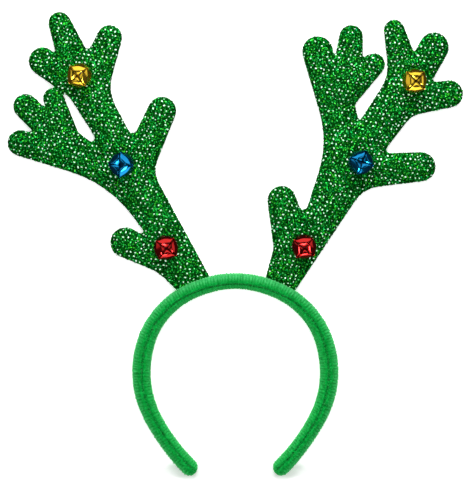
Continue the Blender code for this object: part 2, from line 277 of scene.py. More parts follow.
def lacquer(name, colour, deep):
    """Coloured metallic lacquer over the bell's steel, a little uneven."""
    m = Nodes(name)
    co = m.coords()
    col = m.ramp(m.noise(co, 130.0, 1.0), [(0.35, deep), (0.65, colour)])
    m.join(col, m.bsdf.inputs["Base Color"])
    m.set(Metallic=1.0, Roughness=0.13)
    m.bsdf.inputs["Specular Tint"].default_value = (*colour, 1.0)
    m.bsdf.inputs["Coat Weight"].default_value = 0.3
    m.bsdf.inputs["Coat Roughness"].default_value = 0.04
    return m.mat


def painted_shade_inside_material():
    """The bare inside of a bell's shell, near black: painted shade, so that the slots show dark.
    """
    m = Nodes("bell_inside_painted_shade")
    col = m.ramp(m.noise(m.coords(), 500.0, 3.0),
                 [(0.3, (0.001, 0.001, 0.001)), (0.7, (0.006, 0.005, 0.004))])
    m.join(col, m.bsdf.inputs["Base Color"])
    m.set(Roughness=0.9)
    m.bsdf.inputs["Specular IOR Level"].default_value = 0.0
    return m.mat


def steel_material():
    m = Nodes("pellet_steel")
    co = m.coords()
    col = m.ramp(m.noise(co, 400.0, 3.0), [(0.3, (0.10, 0.10, 0.11)), (0.7, (0.25, 0.25, 0.26))])
    m.join(col, m.bsdf.inputs["Base Color"])
    m.set(Roughness=0.3, Metallic=1.0)
    return m.mat


def floor_material():
    """White, and glowing so bright that no shade shows on it, except round the band's two ends,
    where the glow is dimmed: painted shade that lets the ends' own shade show there."""
    m = Nodes("pale_floor")
    m.set(Roughness=0.9)
    m.bsdf.inputs["Specular IOR Level"].default_value = 0.0
    wide = m.add("ShaderNodeVectorMath", operation='MULTIPLY')
    m.join(m.coords(), wide.inputs[0])
    wide.inputs[1].default_value = (1.0, 5.0, 1.0)
    near = None
    for x in (-33.5, 33.5):
        gap = m.add("ShaderNodeVectorMath", operation='DISTANCE')
        m.join(wide.outputs["Vector"], gap.inputs[0])
        gap.inputs[1].default_value = (x * MM, -152.4 * 5.0 * MM, 0.0)
        if near is None:
            near = gap.outputs["Value"]
        else:
            least = m.add("ShaderNodeMath", operation='MINIMUM')
            m.join(near, least.inputs[0])
            m.join(gap.outputs["Value"], least.inputs[1])
            near = least.outputs["Value"]
    # painted shade: the floor's glow falls to 0.42 of itself in flat ovals round the band's two
    # ends
    lift = m.add("ShaderNodeMapRange", interpolation_type='SMOOTHSTEP')
    m.join(near, lift.inputs["Value"])
    lift.inputs["From Min"].default_value = 14.0 * MM
    lift.inputs["From Max"].default_value = 36.0 * MM
    lift.inputs["To Min"].default_value = 0.42
    lift.inputs["To Max"].default_value = 1.0
    paper = m.ramp(m.noise(m.coords(), 60.0, 2.0),
                   [(0.3, (0.89, 0.89, 0.89)), (0.7, (0.91, 0.91, 0.91))])
    m.join(paper, m.bsdf.inputs["Base Color"])
    glow_with_painted_tip_shade = m.ramp(lift.outputs["Result"], [(0.0, (0.0, 0.0, 0.0)), (1.0, (1.0, 1.0, 1.0))])
    m.join(glow_with_painted_tip_shade, m.bsdf.inputs["Emission Color"])
    m.bsdf.inputs["Emission Strength"].default_value = 0.75
    return m.mat


# ---- the hair band ------------------------------------------------------------


def band_column(angle, column):
    """A smooth curve through one column of the BAND table, for an array."""
    a = np.abs(np.asarray(angle, dtype=float))
    xs = np.array([r[0] for r in BAND])
    ys = np.array([r[column] for r in BAND])
    slopes = np.zeros(len(xs))
    slopes[1:-1] = (ys[2:] - ys[:-2]) / (xs[2:] - xs[:-2])
    slopes[-1] = (ys[-1] - ys[-2]) / (xs[-1] - xs[-2])
    i = np.clip(np.searchsorted(xs, a, side="right") - 1, 0, len(xs) - 2)
    h = xs[i + 1] - xs[i]
    t = (a - xs[i]) / h
    return ((1 + 2 * t) * (1 - t) ** 2 * ys[i] + t * (1 - t) ** 2 * h * slopes[i]
            + t * t * (3 - 2 * t) * ys[i + 1] + t * t * (t - 1) * h * slopes[i + 1])


def band_middle(angle):
    r = band_column(angle, 1)
    a = np.radians(angle)
    return np.stack([r * np.sin(a), r * np.cos(a)], axis=-1)


def squarish(v):
    return np.sign(v) * np.abs(v) ** (2.0 / BAND_POWER)


FLAT_IN = float(squarish(np.cos(np.radians(26.0))))
FLAT_BACK = float(squarish(np.sin(np.radians(68.0))))


def wobble(x, seed, octaves=3):
    """Smooth wandering of about -1 to 1 along a line."""
    out = np.zeros_like(x)
    rng = np.random.default_rng(seed)
    amp = 1.0
    for _ in range(octaves):
        for _ in range(3):
            out += amp * np.sin(x * rng.uniform(0.6, 1.4) + rng.uniform(0, 6.28)) / 3
        x = x * 2.1
        amp *= 0.55
    return out


def band_surface(n_along, n_around):
    """Grid of points on the plush, with the seam's angle for each station."""
    end = BAND[-1][0]
    cap = math.degrees(CAP_LENGTH / BAND[-1][1])
    # arc length runs evenly through the body and round the ends
    u = np.linspace(-1.0, 1.0, n_along)
    reach = end - cap
    body = reach / (end - cap + cap * 1.35)
    ang = np.empty(n_along)
    size = np.ones(n_along)
    for k, v in enumerate(u):
        s = abs(v)
        if s <= body:
            ang[k] = reach * s / body
        else:
            t = (s - body) / (1 - body) * math.pi / 2 * 0.985
            ang[k] = reach + cap * math.sin(t)
            size[k] = max(0.03, math.cos(t))
        ang[k] *= 1 if v >= 0 else -1
    mid = band_middle(ang)
    tan = unit(band_middle(ang + 0.3) - band_middle(ang - 0.3))
    out = np.stack([-tan[:, 1], tan[:, 0]], axis=-1)
    width = band_column(ang, 2)
    share = 1.0 - 2.0 * band_column(ang, 3)
    seam = np.degrees(np.arccos(np.sign(share) * np.abs(share) ** (BAND_POWER / 2)))
    arc = np.cumsum(np.r_[0.0, np.linalg.norm(np.diff(mid, axis=0), axis=1)])
    return ang, size, mid, out, width, seam, arc


def band_points(ring_deg, size, mid, out, width, proud):
    """Points of the tube: ring_deg is stations x samples, proud is how far
    the pile stands over the plain tube."""
    c = squarish(np.cos(np.radians(ring_deg)))
    s = squarish(np.sin(np.radians(ring_deg)))
    c = np.maximum(c, -FLAT_IN)
    s = np.maximum(s, -FLAT_BACK)
    half = 0.5 * width[:, None] * size[:, None] + proud
    deep = BAND_HALF_DEPTH * size[:, None] + proud
    x = mid[:, None, 0] + out[:, None, 0] * half * c
    y = mid[:, None, 1] + out[:, None, 1] * half * c
    z = FLAT_BACK * BAND_HALF_DEPTH + deep * s
    return np.stack([x - SHIFT[0], y - SHIFT[1], np.maximum(z, 0.02)], axis=-1) * MM


def build_band():
    n_along, n_around = 1400, 60
    ang, size, mid, out, width, seam, arc = band_surface(n_along, n_around)
    base = np.linspace(0, 360, n_around, endpoint=False)
    # samples crowd towards the seam, so its groove is sharp
    off = (base + 180.0) % 360.0 - 180.0
    off = np.sign(off) * (np.abs(off) / 180.0) ** 1.4 * 180.0
    ring = seam[:, None] + off[None, :]
    # the seam wanders a little and pinches in places
    drift = 1.8 * wobble(arc * 0.45, 3)
    ring = ring + drift[:, None] * np.exp(-(off / 40.0) ** 2)[None, :]
    fade = np.clip((size - 0.25) / 0.5, 0, 1)
    pinch = np.clip(0.85 + 0.45 * wobble(arc * 1.1, 5), 0.25, 1.4)
    # the outer part bulges over the seam, the inner part runs up to it flatter;
    # off is above zero on the inner side
    groove = -1.25 * fade[:, None] * pinch[:, None] * np.exp(-(np.abs(off) / 5.5) ** 1.7)[None, :]
    lips = fade[:, None] * (0.42 * np.exp(-((off + 15.0) / 9.0) ** 2)
                            + 0.12 * np.exp(-((off - 14.0) / 9.0) ** 2))[None, :]
    # ribs of pile across the tube, uneven, strongest away from the seam
    across = np.radians(off)[None, :]
    beat = 0.8 + 0.5 * wobble(arc * 0.7, 9)
    phase = (arc[:, None] * (2 * math.pi / 1.9) + 0.8 * across
             + 1.5 * wobble(arc * 0.55, 7)[:, None])
    ribs = (0.30 * np.clip(beat, 0.2, 1.6)[:, None] * np.sin(phase)
            * (0.3 + 0.7 * np.clip(np.abs(off) / 50.0, 0, 1))[None, :])
    rng = np.random.default_rng(11)
    grain = rng.normal(0.0, 0.055, ring.shape)
    proud = (0.10 + groove + lips + ribs + grain) * np.minimum(1.0, size[:, None] * 1.5)
    pts = band_points(ring, size, mid, out, width, proud)
    verts = pts.reshape(-1, 3)
    i = np.arange(n_along - 1)[:, None] * n_around
    j = np.arange(n_around)[None, :]
    k = (j + 1) % n_around
    faces = np.stack([i + j, i + k, i + n_around + k, i + n_around + j], axis=-1).reshape(-1, 4)
    # close both ends with a point
    verts = np.vstack([verts, pts[0].mean(axis=0), pts[-1].mean(axis=0)])
    n = n_along * n_around
    last = (n_along - 1) * n_around
    obj = new_mesh_object("headband_plush", verts, faces, [plush_material()])
    bm = bmesh.new()
    bm.from_mesh(obj.data)
    bm.verts.ensure_lookup_table()
    for q in range(n_around):
        r = (q + 1) % n_around
        bm.faces.new((bm.verts[r], bm.verts[q], bm.verts[n]))
        bm.faces.new((bm.verts[last + q], bm.verts[last + r], bm.verts[n + 1]))
    for f in bm.faces:
        f.smooth = True
    bmesh.ops.recalc_face_normals(bm, faces=bm.faces)
    bm.to_mesh(obj.data)
    bm.free()
    # painted light on the pile: paler at the tube's sides as painted sheen, and on the outer side
    # towards the crown as painted light from above; painted shade in and beside the seam
    side = np.cos(np.radians(ring))
    # painted light from above: the outer side is drawn paler towards the crown
    painted_top_light = np.clip(np.cos(np.radians(ang)), 0, 1)[:, None] ** 3 * (side > 0)
    pale = np.clip((np.abs(side) - 0.25 + 0.25 * painted_top_light) / 0.65, 0, 1) ** 1.1
    pale *= np.where(side > 0, 0.85 + 0.35 * np.cos(np.radians(ang))[:, None] ** 3, 0.50)
    # painted sheen: palest along the tube's two edges, more so on the outer side
    rim = np.clip((np.abs(side) - 0.84) / 0.16, 0, 1) ** 1.3 * np.where(side > 0, 0.85, 0.45)
    # the ribs' stripes in colour are their painted light and shade
    comb = np.sin(phase) * (0.35 + 0.65 * np.clip(np.abs(off) / 40.0, 0, 1))[None, :]
    pale = pale + (0.10 + 0.45 * pale) * np.clip(beat, 0.3, 1.4)[:, None] * comb
    spots = np.clip(0.75 + 0.55 * wobble(arc * 2.6, 15, 2), 0.2, 1.3)
    shade = 1.0 * (np.clip(pinch, 0.3, 1.1) * spots)[:, None] * np.exp(-(np.abs(off) / 6.5) ** 2)[None, :] * fade[:, None]
    # painted shade beside the seam under the outer lip, and between the ribs
    shade = shade + 0.20 * np.exp(-((off + 26.0) / 18.0) ** 2)[None, :] - 0.22 * comb
    for name, value in (("painted_sheen_share", pale), ("shade", shade), ("rim", rim)):
        att = obj.data.attributes.new(name, 'FLOAT', 'POINT')
        flat = np.r_[np.clip(value, 0, 1).ravel(), 0.5 * (name == "painted_sheen_share"), 0.5 * (name == "painted_sheen_share")]
        att.data.foreach_set("value", flat.astype(np.float32))
    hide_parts("headband")
    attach(obj, "root")
    # the pile itself: short hairs that stand out all over and soften the edge
    rng = np.random.default_rng(12)
    p, nn, _ = surface_samples(obj, 60000, rng)
    keep = p[:, 2] > 0.8 * MM
    p, nn = p[keep], nn[keep]
    t, b = frames(nn, rng.uniform(0, 2 * math.pi, len(p)))
    grow = unit(nn + t * rng.normal(0, 0.45, (len(p), 1)))
    long = rng.uniform(0.35, 0.75, (len(p), 1)) * MM
    thick = rng.uniform(0.09, 0.15, (len(p), 1)) * MM
    root = p - nn * 0.1 * MM
    hair = np.stack([root - b * thick, root + b * thick, root + grow * (long + 0.1 * MM)], axis=1)
    tri = np.arange(3 * len(p)).reshape(-1, 3)
    obj2 = new_mesh_object("headband_pile", hair.reshape(-1, 3), tri, [pile_material()], False)
    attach(obj2, "root")
    return obj


# ---- antlers --------------------------------------------------------------------


HALF = 4.0 * MM               # the antlers' seam runs at this height
LIFT = 1.75 * MM              # how far the filling may lift the cloth
FLAT = 0.62                   # the unfilled cover's share of the thickness
COVER_VOXEL = 0.85 * MM


def remeshed(node, name, voxel_size):
    obj = link(bpy.data.objects.new(name, NODES[node].data.copy()))
    obj.data.materials.clear()
    voxel = obj.modifiers.new("voxel", 'REMESH')
    voxel.mode = 'VOXEL'
    voxel.voxel_size = voxel_size
    applied(obj)
    return obj


def vertex_normals(mesh):
    out = np.empty(len(mesh.vertices) * 3, dtype=np.float32)
    mesh.vertices.foreach_get("normal", out)
    return out.reshape(-1, 3).astype(float)


def relaxed(mesh, co, times):
    """Smooths the points without shrinking the form."""
    n = len(co)
    edges = np.empty(len(mesh.edges) * 2, dtype=np.int32)
    mesh.edges.foreach_get("vertices", edges)
    edges = edges.reshape(-1, 2)
    deg = np.bincount(edges.ravel(), minlength=n)[:, None]
    for k in range(2 * times):
        total = np.empty_like(co)
        for a in range(3):
            total[:, a] = (np.bincount(edges[:, 0], weights=co[edges[:, 1], a], minlength=n)
                           + np.bincount(edges[:, 1], weights=co[edges[:, 0], a], minlength=n))
        co = co + (0.5 if k % 2 == 0 else -0.52) * (total / deg - co)
    return co


def tree_of(points):
    tree = kdtree.KDTree(len(points))
    for i, q in enumerate(points):
        tree.insert(q, i)
    tree.balance()
    return tree


def pressure_lift(node):
    """How far the filling lifts the cloth: the cover as cloth under pressure
    from within, held along its sewn edge. It is worked out 20 times as large,
    as the solver likes it. Gives points and lifts, front then back."""
    big = 20.0
    obj = remeshed(node, node + "_pattern", 1.9 * MM)
    mesh = obj.data
    normals = vertex_normals(mesh)
    co = verts_of(mesh).astype(float)
    tall = co[:, 2] - HALF
    sewn = (np.abs(tall) < 1.0 * MM) & (np.abs(normals[:, 2]) < 0.6)
    co[:, 2] = HALF + tall * FLAT
    set_verts(mesh, co * big)
    group = obj.vertex_groups.new(name="sewn")
    group.add([int(i) for i in np.nonzero(sewn)[0]], 1.0, 'REPLACE')
    cloth = obj.modifiers.new("cloth", 'CLOTH')
    how = cloth.settings
    how.quality = 5
    how.mass = 0.3
    how.use_pressure = True
    how.uniform_pressure_force = 4.0
    how.tension_stiffness = how.compression_stiffness = 15.0
    how.shear_stiffness = 5.0
    how.effector_weights.gravity = 0.0
    how.vertex_group_mass = "sewn"
    cloth.point_cache.frame_start = 1
    cloth.point_cache.frame_end = 20
    for f in range(1, 21):
        bpy.context.scene.frame_set(f)
    deps = bpy.context.evaluated_depsgraph_get()
    out = verts_of(obj.evaluated_get(deps).data).astype(float) / big
    lifted = out[:, 2] - co[:, 2]
    bpy.context.scene.frame_set(1)
    bpy.data.objects.remove(obj, do_unlink=True)
    lifted = LIFT * np.tanh(lifted / LIFT)
    rows = []
    for face in (tall > 0, tall <= 0):
        at = np.c_[co[face][:, :2], np.zeros(face.sum())]
        rows.append((tree_of(at), lifted[face]))
    return rows


def padded_antler(side):
    """The stuffed cover: the drawn antler, lifted by its filling, and laid
    flat on its back."""
    node = "antler_" + side
    rows = pressure_lift(node)
    obj = remeshed(node, node + "_cover", COVER_VOXEL)
    mesh = obj.data
    co = relaxed(mesh, verts_of(mesh).astype(float), 5)
    set_verts(mesh, co)
    normals = vertex_normals(mesh)
    n = len(co)
    tall = co[:, 2] - HALF
    rim = np.nonzero((np.abs(tall) < 0.7 * COVER_VOXEL) & (np.abs(normals[:, 2]) < 0.6))[0]
    rim_tree = tree_of(np.c_[co[rim][:, :2], np.zeros(len(rim))])
    lifted = np.zeros(n)
    inland = np.zeros(n)
    for i in range(n):
        here = (co[i, 0], co[i, 1], 0.0)
        inland[i] = rim_tree.find(here)[2]
        tree, values = rows[0 if tall[i] > 0 else 1]
        found = tree.find_n(here, 4)
        w = np.array([1.0 / (q[2] + 0.2 * MM) for q in found])
        lifted[i] = float((values[[q[1] for q in found]] * w).sum() / w.sum())
    t = np.clip(inland / (2.4 * MM), 0, 1)
    co[:, 2] = HALF + tall * FLAT + lifted * t * t * (3 - 2 * t)
    slow = np.array([noise.noise(Vector((x * 38.0, y * 38.0, 3.7))) for x, y, _ in co])
    quick = np.array([noise.noise(Vector((x * 150.0, y * 150.0, z * 150.0 + 9.0)))
                      for x, y, z in co])
    top = np.clip((co[:, 2] - HALF) / (3.0 * MM), 0, 1)
    co[:, 2] += top * (0.45 * slow + 0.18 * quick) * MM
    # pressed down under each bell
    for row in BELLS:
        if row[0].endswith(side):
            cx, cy = (row[1] - SHIFT[0]) * MM, (row[2] - SHIFT[1]) * MM
            d = np.hypot(co[:, 0] - cx, co[:, 1] - cy) / MM
            room = 6.9 * MM + 1.2 * MM * np.clip((d - 3.0) / 5.0, 0, 1.5) ** 1.5
            co[:, 2] = np.where(d < 9.5, np.minimum(co[:, 2], room), co[:, 2])
    set_verts(mesh, co)
    normals = vertex_normals(mesh)
    # the seam round the edge, where front and back are sewn together; the
    # thickness of the knit puts the rest a little outward
    edge = np.exp(-((co[:, 2] - HALF) / (0.5 * MM)) ** 2)
    side_on = np.clip(1.0 - np.abs(normals[:, 2]) * 1.6, 0, 1)
    co += normals * ((0.30 - 0.18 * edge) * side_on * MM)[:, None]
    co[:, 2] = np.maximum(co[:, 2], 0.02 * MM)
    set_verts(mesh, co)
    mesh.shade_smooth()
    mesh.materials.clear()
    mesh.materials.append(GROUND)
    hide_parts(node)
    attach(obj, "root")
    return obj


def surface_samples(obj, count, rng):
    """Points spread evenly over a mesh, with the surface's direction there."""
    mesh = obj.data
    mesh.calc_loop_triangles()
    tri = np.empty(len(mesh.loop_triangles) * 3, dtype=np.int32)
    mesh.loop_triangles.foreach_get("vertices", tri)
    tri = tri.reshape(-1, 3)
    co = verts_of(mesh).astype(float)
    nor = np.empty(len(co) * 3, dtype=np.float32)
    mesh.vertices.foreach_get("normal", nor)
    nor = nor.reshape(-1, 3).astype(float)
    a, b, c = co[tri[:, 0]], co[tri[:, 1]], co[tri[:, 2]]
    area = 0.5 * np.linalg.norm(np.cross(b - a, c - a), axis=1)
    pick = rng.choice(len(tri), size=count, p=area / area.sum())
    r1, r2 = np.sqrt(rng.random(count)), rng.random(count)
    w = np.stack([1 - r1, r1 * (1 - r2), r1 * r2], axis=1)
    p = (a[pick] * w[:, :1] + b[pick] * w[:, 1:2] + c[pick] * w[:, 2:])
    nn = (nor[tri[pick, 0]] * w[:, :1] + nor[tri[pick, 1]] * w[:, 1:2]
          + nor[tri[pick, 2]] * w[:, 2:])
    return p, unit(nn), area.sum()


def spaced(points, gap, key=None):
    """Indices of points, in order, that keep a distance to those before."""
    cell = {}
    keep = []
    inv = 1.0 / gap
    for i, p in enumerate(points):
        k = (int(math.floor(p[0] * inv)), int(math.floor(p[1] * inv)), int(math.floor(p[2] * inv)))
        ok = True
        for dx in (-1, 0, 1):
            for dy in (-1, 0, 1):
                for dz in (-1, 0, 1):
                    for j in cell.get((k[0] + dx, k[1] + dy, k[2] + dz), ()):
                        q = points[j]
                        if ((p[0] - q[0]) ** 2 + (p[1] - q[1]) ** 2 + (p[2] - q[2]) ** 2
                                < gap * gap):
                            ok = False
                            break
                    if not ok:
                        break
                if not ok:
                    break
            if not ok:
                break
        if ok:
            cell.setdefault(k, []).append(i)
            keep.append(i)
    return np.array(keep)


def frames(normals, heading):
    """Tangent and binormal for each normal, the tangent turned by heading
    from the knit's own direction."""
    up = np.tile(np.array([0.0, 1.0, 0.0]), (len(normals), 1))
    flat = np.abs((normals * up).sum(1)) > 0.9
    up[flat] = (1.0, 0.0, 0.0)
    t0 = unit(up - normals * (normals * up).sum(1, keepdims=True))
    b0 = np.cross(normals, t0)
    c, s = np.cos(heading)[:, None], np.sin(heading)[:, None]
    return t0 * c + b0 * s, b0 * c - t0 * s


def loops(points, normals, heading, length, width, rise, curl, rng):
    """Short arched strips of foil: four stations long, two wide, and curved
    sideways by curl."""
    n = len(points)
    t, b = frames(normals, heading)
    s = np.linspace(-1, 1, 4)
    along = 0.5 * length[:, None] * s
    side = curl[:, None] * (1 - s ** 2) * 0.5 * length[:, None]
    high = rise[:, None] * (1 - s ** 2) - 0.12 * MM
    tilt = rng.normal(0, 0.35, n)
    w = 0.5 * width[:, None] * (0.55 + 0.45 * (1 - s ** 2))
    mid = (points[:, None, :] + t[:, None, :] * along[..., None]
           + b[:, None, :] * side[..., None] + normals[:, None, :] * high[..., None])
    wide = (b * np.cos(tilt)[:, None] + normals * np.sin(tilt)[:, None])[:, None, :]
    left = mid - wide * w[..., None]
    right = mid + wide * w[..., None]
    verts = np.stack([left, right], axis=2).reshape(n, 8, 3)
    quad = np.array([[2 * k, 2 * k + 1, 2 * k + 3, 2 * k + 2] for k in range(3)])
    faces = (quad[None] + 8 * np.arange(n)[:, None, None]).reshape(-1, 4)
    return verts.reshape(-1, 3), faces


def spangles(points, normals, heading, length, width, rise, rng):
    """Small domed flats of foil, each an oval of seven sides and a middle."""
    n = len(points)
    tilt = rng.normal(0, 0.16, (n, 2))
    t, b = frames(normals, heading)
    nn = unit(normals + t * tilt[:, :1] + b * tilt[:, 1:])
    t = unit(t - nn * (t * nn).sum(1, keepdims=True))
    b = np.cross(nn, t)
    a = np.linspace(0, 2 * math.pi, 7, endpoint=False)
    ring = (points[:, None] + t[:, None] * (0.5 * length[:, None] * np.cos(a))[..., None]
            + b[:, None] * (0.5 * width[:, None] * np.sin(a))[..., None]
            + nn[:, None] * rise[:, None, None])
    middle = points + nn * (rise + 0.10 * MM)[:, None]
    verts = np.concatenate([ring, middle[:, None]], axis=1)
    tri = np.array([[k, (k + 1) % 7, 7] for k in range(7)])
    faces = (tri[None] + 8 * np.arange(n)[:, None, None]).reshape(-1, 3)
    return verts.reshape(-1, 3), faces


def tinsel(cover, side, seed):
    """The metallic yarn of the knit: green loops all over, and flats in slightly uneven rows; the
    white ones carry painted glints, whitish and glowing a little."""
    rng = np.random.default_rng(seed)
    p, n, area = surface_samples(cover, 70000, rng)
    # loops: close-packed, darker ones lie lower
    keep = spaced(p.tolist(), 0.82 * MM)
    p1, n1 = p[keep], n[keep]
    m = len(p1)
    kind = rng.choice(5, size=m, p=[0.46, 0.33, 0.10, 0.06, 0.05])
    heading = rng.normal(0.0, 0.9, m) + rng.choice([-0.55, 0.55], m)
    length = rng.uniform(1.2, 2.2, m) * MM
    width = rng.uniform(0.40, 0.64, m) * MM
    rise = rng.uniform(0.20, 0.50, m) * MM
    rise[kind == 0] *= 0.6
    curl = rng.normal(0, 0.35, m)
    v, f = loops(p1, n1, heading, length, width, rise, curl, rng)
    v[:, 2] = np.maximum(v[:, 2], 0.02 * MM)
    obj = new_mesh_object("antler_%s_tinsel" % side, v, f, FOILS, True, np.repeat(kind, 3))
    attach(obj, "root")
    # sparkles: an uneven grid on the faces, spaced points round the edges
    p, n, _ = surface_samples(cover, 30000, rng)
    grid = np.abs(n[:, 2]) > 0.8
    u = np.array([math.cos(math.radians(64)), math.sin(math.radians(64))]) * 3.15 * MM
    w = np.array([math.cos(math.radians(-8)), math.sin(math.radians(-8))]) * 3.0 * MM
    inv = np.linalg.inv(np.stack([u, w], axis=1))
    g = p[:, :2] @ inv.T
    off = np.hypot(*(g - np.round(g)).T)
    order = np.argsort(np.where(grid, off + rng.uniform(0, 0.16, len(off)),
                                0.2 + rng.random(len(off)) * 0.3))
    p, n = p[order], n[order]
    keep = spaced(p.tolist(), 1.75 * MM)
    p2, n2 = p[keep], n[keep]
    m = len(p2)
    # those taken first lie on the grid and are the white ones, whose whiteness is a painted glint
    rank = np.arange(m) / m
    white = rank < 0.42
    size = np.where(white, rng.normal(1.0, 0.2, m), rng.normal(0.68, 0.16, m))
    size = np.clip(size, 0.4, 1.4)
    length = 1.12 * MM * size * rng.uniform(0.95, 1.25, m)
    width = 0.82 * MM * size
    v, f = spangles(p2, n2, rng.uniform(0, math.pi, m), length, width,
                    rng.uniform(0.35, 0.6, m) * MM, rng)
    v[:, 2] = np.maximum(v[:, 2], 0.02 * MM)
    kind = np.where(white, rng.choice(3, size=m, p=[0.8, 0.14, 0.06]),
                    rng.choice(3, size=m, p=[0.10, 0.55, 0.35]))
    obj2 = new_mesh_object("antler_%s_sparkles" % side, v, f, SPARKS, True, np.repeat(kind, 7))
    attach(obj2, "root")
    print("tinsel", side, "loops", len(p1), "sparkles", m, "area cm2", round(area * 1e4, 1))


# ---- bells ------------------------------------------------------------------------

BELL = (
    # height, to a side, to a corner
    (-7.0,  0.0,  0.0),
    (-6.85, 1.6,  1.6),
    (-6.3,  3.5,  3.5),
    (-5.3,  5.3,  5.3),
    (-3.8,  6.8,  6.8),
    (-2.0,  7.8,  7.8),
    (0.0,   8.15, 8.2),
    (1.5,   8.0,  8.35),
    (2.8,   7.65, 8.5),
    (3.8,   7.2,  8.6),
    (4.5,   6.75, 8.45),
    (5.0,   6.15, 7.95),
    (5.52,  5.4,  7.15),
    (5.95,  4.6,  6.25),
    (6.17,  4.1,  5.65),
    (6.26,  3.65, 5.05),
    (6.25,  3.3,  4.6),
    (6.13,  2.5,  3.5),
    (5.84,  1.6,  2.2),
    (5.55,  1.0,  1.3),
)
SLOT_LOW = 2.6                # the slots run from the front down to this height
SLOT_HALF, BULB = 0.50, 0.90  # half a slot's width, and the hole at its end


def bell_profile(fine):
    """The BELL table as smooth curves, at shares of the outline's length."""
    rows = np.array(BELL)
    t = np.r_[0.0, np.cumsum(np.hypot(np.diff(rows[:, 0]), np.diff(rows[:, 1])))]
    length = t[-1]
    t /= length
    out = []
    for col in range(3):
        y = rows[:, col]
        slope = np.gradient(y, t)
        i = np.clip(np.searchsorted(t, fine, side="right") - 1, 0, len(t) - 2)
        h = t[i + 1] - t[i]
        s = (fine - t[i]) / h
        out.append((1 + 2 * s) * (1 - s) ** 2 * y[i] + s * (1 - s) ** 2 * h * slope[i]
                   + s * s * (3 - 2 * s) * y[i + 1] + s * s * (s - 1) * h * slope[i + 1])
    return (*out, length)


def bell_form():
    """One shell: round at the back, square in front, where four petals meet
    with a slot between each two."""
    per = 26
    start = float(np.interp(SLOT_LOW, [r[0] for r in BELL],
                            np.r_[0.0, np.cumsum(np.hypot(np.diff([r[0] for r in BELL]),
                                                          np.diff([r[1] for r in BELL])))]
                            / np.hypot(np.diff([r[0] for r in BELL]),
                                       np.diff([r[1] for r in BELL])).sum()))
    fine = np.r_[np.linspace(0.02, start, 18), np.linspace(start, 1.0, 58)[1:]]
    z, side, corner, length = bell_profile(fine)
    along = (fine - start) * length
    t = np.linspace(-1, 1, per + 1)
    t = np.sign(t) * (1 - (1 - np.abs(t)) ** 1.7)
    # half the gap at each ring: a round hole at the slot's end, then the slot
    hole = np.sqrt(np.clip(BULB ** 2 - (along - BULB) ** 2, 0, None))
    gap = np.where(along <= 0, 0.0, np.where(along < BULB, hole, np.maximum(hole, SLOT_HALF)))
    delta = np.arcsin(np.clip(gap / np.maximum(corner, 0.5), 0, 0.9))
    quarter = math.pi / 4
    grids = []
    for q in range(4):
        phi = t[None, :] * (quarter - delta)[:, None]
        off = np.abs(phi)
        square = np.clip((1 / np.cos(off) - 1) / (math.sqrt(2) - 1), 0, 1) ** 1.15
        r = side[:, None] + (corner - side)[:, None] * square
        turn = phi + q * math.pi / 2
        x, y = r * np.cos(turn), r * np.sin(turn)
        d = r * np.sin(np.clip(quarter - off, 0, None))
        front = np.clip((z - 3.8) / 1.6, 0, 1)[:, None]
        zz = np.repeat(z[:, None], per + 1, axis=1)
        # the petal falls off towards the slots, and its edges turn in at them
        near = np.maximum(d, SLOT_HALF) - SLOT_HALF
        zz = zz - front * 0.13 * np.clip(1.0 - near / 1.5, 0, 1) ** 2
        zz = zz - front * 0.10 * np.exp(-(near / 0.35) ** 2)
        grids.append(np.stack([x, y, zz], axis=-1))
    n = len(fine)
    verts = np.concatenate([g.reshape(-1, 3) for g in grids])
    i = np.arange(n - 1)[:, None] * (per + 1)
    j = np.arange(per)[None, :]
    cell = np.stack([i + j, i + j + 1, i + per + 2 + j, i + per + 1 + j], axis=-1).reshape(-1, 4)
    faces = np.concatenate([cell + q * n * (per + 1) for q in range(4)])
    obj = new_mesh_object("bell_form", verts * MM, faces, [])
    bm = bmesh.new()
    bm.from_mesh(obj.data)
    bm.verts.ensure_lookup_table()
    back = bm.verts.new((0, 0, -7.0 * MM))
    bm.verts.ensure_lookup_table()
    for q in range(4):
        at = q * n * (per + 1)
        for k in range(per):
            bm.faces.new((bm.verts[at + k + 1], bm.verts[at + k], back))
    bmesh.ops.remove_doubles(bm, verts=bm.verts[:], dist=0.004 * MM)
    bmesh.ops.recalc_face_normals(bm, faces=bm.faces[:])
    if sum(f.normal.z for f in bm.faces if f.calc_center_median().z > 4.0 * MM) < 0:
        bmesh.ops.reverse_faces(bm, faces=bm.faces[:])
    bm.to_mesh(obj.data)
    bm.free()
    for _ in range(2):
        obj.data.materials.append(None)
    wall = obj.modifiers.new("wall", 'SOLIDIFY')
    wall.thickness = 0.5 * MM
    wall.offset = -1.0
    # the inside and the slots' cut edges take the near-black painted shade
    wall.material_offset = 1
    wall.material_offset_rim = 1
    applied(obj)
    mesh = obj.data
    bpy.data.objects.remove(obj, do_unlink=True)
    # the wire eye at the back
    bm = bmesh.new()
    bm.from_mesh(mesh)
    rings = []
    for s in range(13):
        a = math.pi * s / 12
        ctr = Vector((2.0 * math.cos(a), 0, -6.42 - 2.0 * math.sin(a)))
        radial = Vector((math.cos(a), 0, -math.sin(a)))
        ring = []
        for q in range(10):
            b = 2 * math.pi * q / 10
            ring.append(bm.verts.new((ctr + radial * (0.6 * math.cos(b))
                                      + Vector((0, 0.6 * math.sin(b), 0))) * MM))
        rings.append(ring)
    for a, b in zip(rings, rings[1:]):
        for q in range(10):
            bm.faces.new((a[q], b[q], b[(q + 1) % 10], a[(q + 1) % 10]))
    bm.faces.new(rings[0])
    bm.faces.new(list(reversed(rings[-1])))
    bm.to_mesh(mesh)
    bm.free()
    mesh.shade_smooth()
    mesh.set_sharp_from_angle(angle=math.radians(50.0))
    print("bell faces", len(mesh.polygons))
    return mesh


